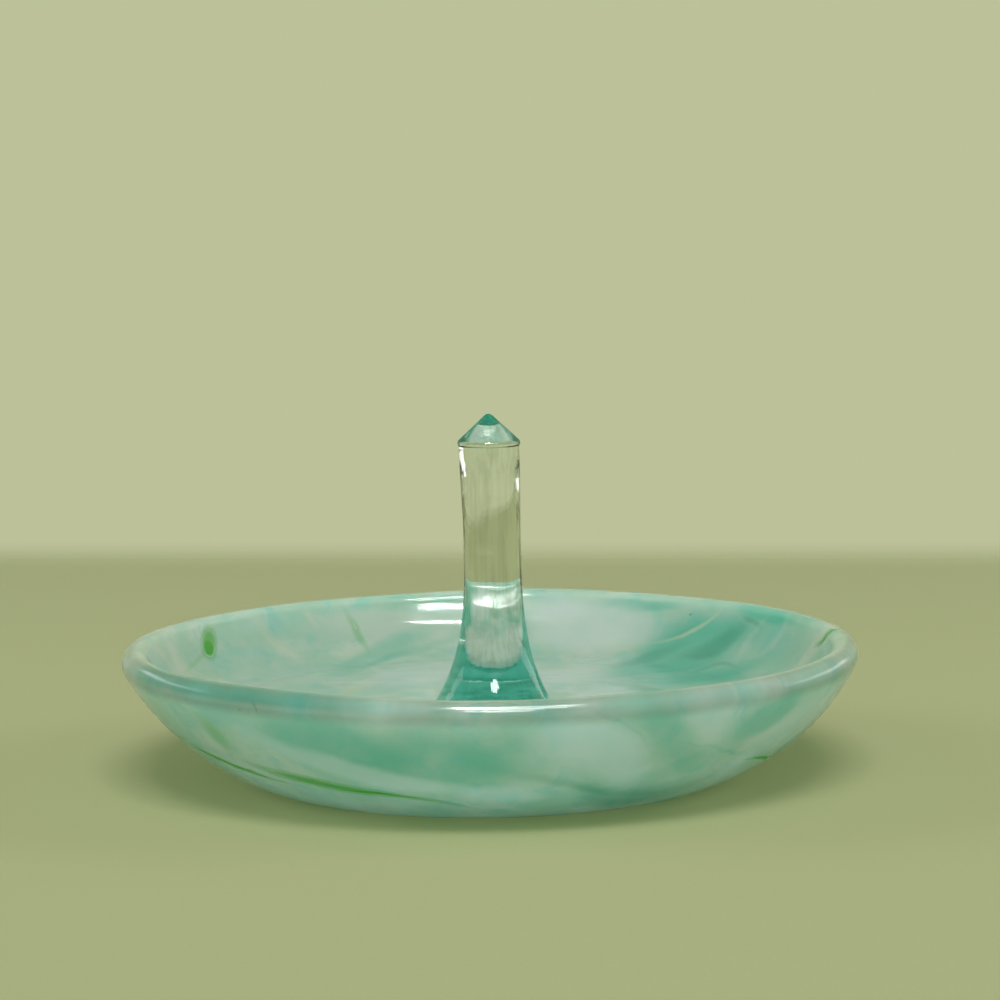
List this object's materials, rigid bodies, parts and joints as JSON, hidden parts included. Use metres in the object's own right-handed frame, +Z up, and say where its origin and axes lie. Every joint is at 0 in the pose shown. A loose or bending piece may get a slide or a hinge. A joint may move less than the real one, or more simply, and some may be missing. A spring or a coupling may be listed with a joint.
{
  "type": "ring dish",
  "caption": "Shallow round dish of marbled glass with a clear glass post at its centre, for holding finger rings and small jewellery.",
  "frame": {"origin": "centre of the flat face that the dish stands on, at table height", "axes": "+Z up along the post; the dish is round, so +X and -Y are free choices, and -Y is taken as the front"},
  "size_m": [0.15, 0.15, 0.0736],
  "materials": {
    "marbled_glass": "glossy fused glass with milky white, aqua and teal swirls and a few green streaks",
    "clear_glass": "clear fire-polished glass",
    "clear_film": "clear cured adhesive"
  },
  "bodies": {
    "root": {"dish": "marbled_glass", "post": "clear_glass", "bond": "clear_film"}
  },
  "joints": []
}
